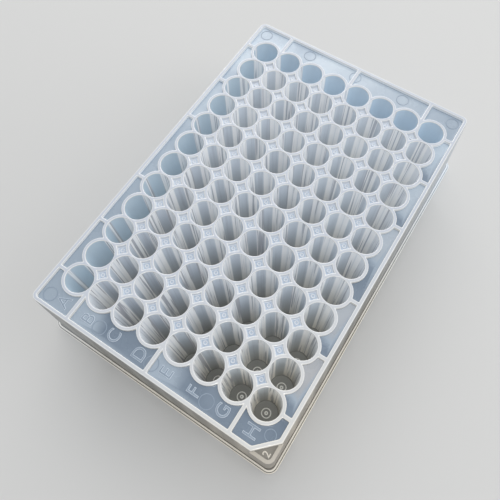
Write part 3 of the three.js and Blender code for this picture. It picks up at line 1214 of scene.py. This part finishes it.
# Each finish's name, roughness and tone, in the order of their numbers
FINISHES = (
    ("rim", 0.17, RIM_TONE),
    ("collar", 0.34, RIM_TONE),
    ("land", 0.42, clouded((211, 211, 209), (203, 203, 201))),
    ("recess", 0.26, clouded((212, 217, 223), (204, 209, 216))),
    ("hollow", 0.3, clouded((180, 192, 206), (168, 181, 196))),
    ("deck", 0.26, deck_tone),
    # The mark finish is a painted highlight along the letters' edges
    ("mark", 0.34, clouded((206, 215, 224), (196, 206, 216))),
    ("ejector_mark", 0.34, clouded((138, 152, 168), (128, 142, 158))),
    ("well_wall", 0.52, wall_tone),
    # The well floor's darker tone is painted shade
    ("well_floor", 0.5, clouded((150, 150, 145), (136, 136, 131))),
    ("gate_mark", 0.34, clouded((250, 248, 242), (244, 242, 236))),
    ("skirt", 0.38, skirt_tone),
    # The lip finish is a painted highlight
    ("lip", 0.38, clouded((234, 228, 216), (226, 220, 208))),
    # The step finish is painted shade
    ("step", 0.38, clouded((98, 95, 88), (88, 85, 79))),
    # The shelf's border and floor are darker than the rim: painted shade in the corner shelf
    ("shelf_border", 0.38, clouded((196, 190, 179), (186, 180, 169))),
    ("shelf", 0.38, clouded((148, 144, 136), (136, 132, 124))),
    ("underside", 0.4, clouded((216, 217, 216), (206, 207, 206))),
)


def plate_materials():
    materials = []
    for finish, (name, roughness, tone) in enumerate(FINISHES):
        if finish in PAINTED_LIGHT_DRIFT:
            tone = drifting(tone, *PAINTED_LIGHT_DRIFT[finish])
        grain = OWN_GRAIN.get(finish, GRAIN)
        materials.append(polypropylene("polypropylene_" + name, tone, roughness, grain))
    return materials


# ---------------------------------------------------------------- stage, light and camera

STAGE_HALF = 2.0  # metres
STAGE_LIGHT = srgb(204, 204, 203)
STAGE_SHADE = srgb(200, 200, 199)
STAGE_CLOUD_SCALE = 3.0
SKY = (0.98, 0.99, 1.0, 1.0)
SKY_STRENGTH = 0.585
BACKGROUND = srgb(226, 226, 225)

# Each lamp's name, place, aim, width and height in metres, and power in watts
LAMPS = (
    ("far_softbox", (0.62, 0.40, 0.55), (0.02, 0.01, 0.03), (0.8, 0.5), 4.8),
    ("near_lamp", (-0.25, -0.2, 0.75), (0, 0, 0.02), (0.11, 0.11), 1.0),
    ("near_fill", (0.35, -0.75, 0.5), (0, 0, 0.02), (0.6, 0.6), 2.5),
)


def floor_material():
    material = bpy.data.materials.new("pale_floor")
    nodes = Nodes(material, "ShaderNodeOutputMaterial")
    share = nodes.spread(nodes.noise(nodes.place(), STAGE_CLOUD_SCALE), *CLOUD_NOISE, 0.0, 1.0)
    tone = nodes.mix(share, STAGE_SHADE, STAGE_LIGHT)
    values = {"Base Color": tone, "Roughness": 0.85, "Specular IOR Level": 0.2}
    surface = nodes.add("ShaderNodeBsdfPrincipled", values)
    nodes.feed(nodes.output, {"Surface": surface.outputs[0]})
    return material


def add_floor():
    corners = [(x * STAGE_HALF, y * STAGE_HALF, 0) for x, y in ((-1, -1), (1, -1), (1, 1), (-1, 1))]
    mesh = bpy.data.meshes.new("floor")
    mesh.from_pydata(corners, [], [(0, 1, 2, 3)])
    mesh.materials.append(floor_material())
    in_scene("floor", mesh)


def add_lamp(name, place, aim, size, power):
    light = bpy.data.lights.new(name, "AREA")
    light.shape = "RECTANGLE"
    light.size, light.size_y = size
    light.energy = power
    lamp = in_scene(name, light)
    lamp.location = place
    lamp.rotation_euler = (Vector(aim) - Vector(place)).to_track_quat("-Z", "Y").to_euler()


def add_world():
    """Soft light from all round, and a pale background for the camera and for what the plastic mirrors."""
    world = bpy.data.worlds.new("studio")
    nodes = Nodes(world, "ShaderNodeOutputWorld")
    soft = nodes.add("ShaderNodeBackground", {"Color": SKY, "Strength": SKY_STRENGTH})
    seen = nodes.add("ShaderNodeBackground", {"Color": BACKGROUND})
    rays = nodes.add("ShaderNodeLightPath").outputs
    seen_by = nodes.math("ADD", rays["Is Camera Ray"], rays["Is Glossy Ray"])
    seen_by = nodes.math("ADD", seen_by, rays["Is Transmission Ray"])
    nodes.show(seen_by, soft, seen)
    bpy.context.scene.world = world


def add_camera():
    camera = bpy.data.cameras.new("camera")
    camera.lens = CAMERA_LENS
    camera.sensor_width = 36
    camera.shift_x, camera.shift_y = CAMERA_SHIFT
    camera.clip_start = 0.01
    camera.clip_end = 10
    holder = in_scene("camera", camera)
    place = Vector(CAMERA_PLACE) * MM
    back = (place - Vector(CAMERA_AIM) * MM).normalized()
    right = Vector((0, 0, 1)).cross(back).normalized()
    level = Matrix((right, back.cross(right), back)).transposed()
    turned = level @ Matrix.Rotation(math.radians(CAMERA_ROLL), 3, "Z")
    holder.matrix_world = Matrix.Translation(place) @ turned.to_4x4()
    bpy.context.scene.camera = holder


# ---------------------------------------------------------------- the scene


def add_plate(materials):
    """The moulding and its raised texts."""
    body = Moulding()
    add_underside(body, add_top(body))
    plate = body.object("plate_moulding", materials)
    letters = []
    for row in range(1, ROWS + 1):
        letter = chr(ord("A") + row - 1)
        place = (LETTER_X, row_y(row) + LETTER_SHIFT)
        letters.append((letter, LETTER_HEIGHT, place, DECK_TOP, LETTER_BEVEL))
    # The letters' edges take a painted highlight
    row_letters = text_object("row_letters", letters, materials[EJECTOR], materials[LETTER_HIGHLIGHT])
    number = [("2", NUMBER_HEIGHT, NUMBER_PLACE, SHELF_FLOOR, NUMBER_BEVEL)]
    # The number takes the lip's painted highlight
    corner_number = text_object("corner_number", number, materials[LIP_HIGHLIGHT], materials[LIP_HIGHLIGHT])
    return plate, row_letters, corner_number


def main():
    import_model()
    for piece in add_plate(plate_materials()):
        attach(piece, "root")
        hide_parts("well_plate")
    add_floor()
    add_world()
    for lamp in LAMPS:
        add_lamp(*lamp)
    add_camera()
    bpy.context.scene.view_settings.view_transform = "Standard"


main()
